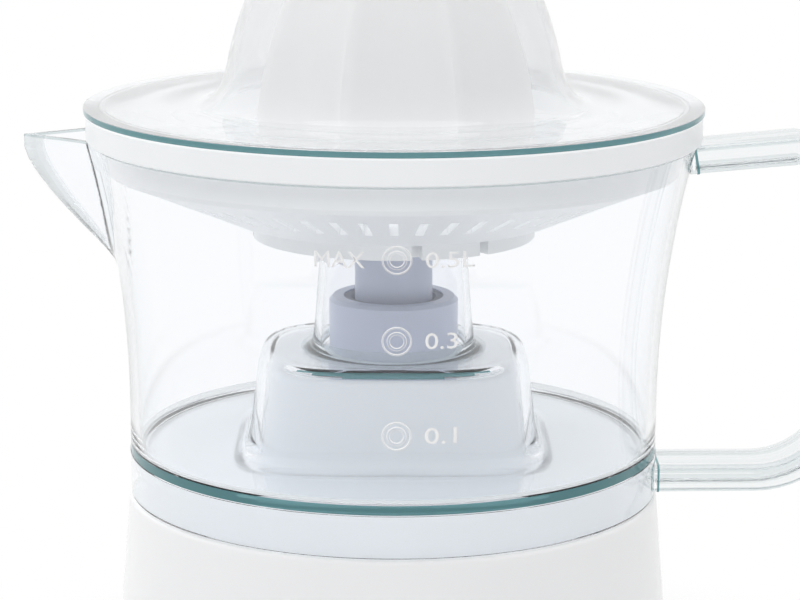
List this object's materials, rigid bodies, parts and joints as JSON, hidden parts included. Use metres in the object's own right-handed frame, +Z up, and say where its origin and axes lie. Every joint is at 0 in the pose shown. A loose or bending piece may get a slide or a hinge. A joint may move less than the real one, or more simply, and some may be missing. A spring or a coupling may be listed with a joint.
{
  "type": "electric citrus press",
  "caption": "Clear jug with spout and handle on a white motor base, with a slotted strainer, a ribbed reaming cone and a clear domed lid.",
  "frame": {"origin": "on the upright axis of jug, cone and spindle, at the table plane under the rubber foot ring", "axes": "+Z up, +X from the axis towards the handle with the spout at -X, -Y the front, where the level marks are"},
  "size_m": [0.1956, 0.1434, 0.226],
  "materials": {
    "clear_plastic": "clear",
    "white_plastic": "gloss",
    "strainer_plastic": "satin",
    "deck_plastic": "satin",
    "lilac_plastic": "satin",
    "cone_plastic": "satin",
    "rubber": "matte",
    "white_rubber": "matte",
    "zinc_steel": "satin",
    "plate_steel": "satin",
    "gear_nylon": "matte",
    "bronze": "satin",
    "core_steel": "matte",
    "bobbin_plastic": "matte",
    "copper": "gloss",
    "magnet": "matte",
    "switch_plastic": "matte",
    "terminal_plastic": "gloss"
  },
  "bodies": {
    "base": {"foot_ring": "rubber", "bottom_cover": "white_plastic", "cover_screws": "zinc_steel", "base_housing": "white_plastic", "cord_grommet": "white_rubber", "base_top": "deck_plastic", "drive_tower": "lilac_plastic", "shaft_seal": "rubber", "gear_plate_lower": "plate_steel", "gear_plate_upper": "plate_steel", "plate_pillars": "zinc_steel", "plate_screws": "zinc_steel", "gear_pins": "zinc_steel", "spindle_bush_lower": "bronze", "spindle_bush_upper": "bronze", "return_spring": "zinc_steel", "motor_core": "core_steel", "motor_bobbin": "bobbin_plastic", "motor_coil": "copper", "motor_bracket": "plate_steel", "motor_spacers": "zinc_steel", "motor_bolts": "zinc_steel", "rotor_bushes": "bronze", "micro_switch": "switch_plastic", "terminal_block": "terminal_plastic"},
    "jug": {"jug_body": "clear_plastic", "jug_handle": "clear_plastic"},
    "strainer": {"strainer": "strainer_plastic"},
    "collar": {"cone_collar": "strainer_plastic"},
    "cone": {"cone": "cone_plastic"},
    "lid": {"lid": "clear_plastic"},
    "thrust": {"thrust_washer": "zinc_steel"},
    "spindle": {"spindle": "lilac_plastic", "output_gear": "gear_nylon"},
    "gear_one": {"gear_one": "gear_nylon"},
    "gear_two": {"gear_two": "gear_nylon"},
    "rotor": {"rotor_magnet": "magnet", "rotor_shaft": "zinc_steel", "motor_pinion": "gear_nylon"},
    "lever": {"switch_lever": "zinc_steel"}
  },
  "joints": [
    {"name": "jug_lift", "type": "slide", "parent": "base", "child": "jug", "axis": [0, 0, 1], "range_m": [0, 0.115]},
    {"name": "strainer_lift", "type": "slide", "parent": "jug", "child": "strainer", "axis": [0, 0, 1], "range_m": [0, 0.07]},
    {"name": "lid_lift", "type": "slide", "parent": "strainer", "child": "lid", "axis": [0, 0, 1], "range_m": [0, 0.075]},
    {"name": "cone_press", "type": "slide", "parent": "strainer", "child": "collar", "axis": [0, 0, 1], "range_m": [-0.0025, 0], "stiffness_N_per_m": 1500, "springref_m": 0.003},
    {"name": "cone_spin", "type": "hinge", "parent": "collar", "child": "cone", "pos_m": [0, 0, 0.15], "axis": [0, 0, 1], "continuous": true},
    {"name": "spindle_press", "type": "slide", "parent": "base", "child": "thrust", "axis": [0, 0, 1], "range_m": [-0.0025, 0], "deforming": ["return_spring"]},
    {"name": "spindle_spin", "type": "hinge", "parent": "thrust", "child": "spindle", "pos_m": [0, 0, 0.1], "axis": [0, 0, 1], "continuous": true},
    {"name": "gear_two_spin", "type": "hinge", "parent": "base", "child": "gear_two", "pos_m": [-0.02858, 0.0165, 0.055], "axis": [0, 0, 1], "continuous": true},
    {"name": "gear_one_spin", "type": "hinge", "parent": "base", "child": "gear_one", "pos_m": [-0.02886, -0.016, 0.055], "axis": [0, 0, 1], "continuous": true},
    {"name": "rotor_spin", "type": "hinge", "parent": "base", "child": "rotor", "pos_m": [-0.00288, -0.031, 0.03], "axis": [0, 0, 1], "continuous": true},
    {"name": "lever_swing", "type": "hinge", "parent": "base", "child": "lever", "pos_m": [-0.012, 0, 0.025], "axis": [0, 1, 0], "range_deg": [0, 11.5]}
  ],
  "couplings": [
    {"joint": "spindle_press", "follows": "cone_press", "ratio": 1},
    {"joint": "lever_swing", "follows": "cone_press", "rad_per_m": -76.794},
    {"joint": "spindle_spin", "follows": "cone_spin", "ratio": 1},
    {"joint": "gear_two_spin", "follows": "cone_spin", "ratio": -2.6667},
    {"joint": "gear_one_spin", "follows": "cone_spin", "ratio": 8.8889},
    {"joint": "rotor_spin", "follows": "cone_spin", "ratio": -44.444}
  ]
}
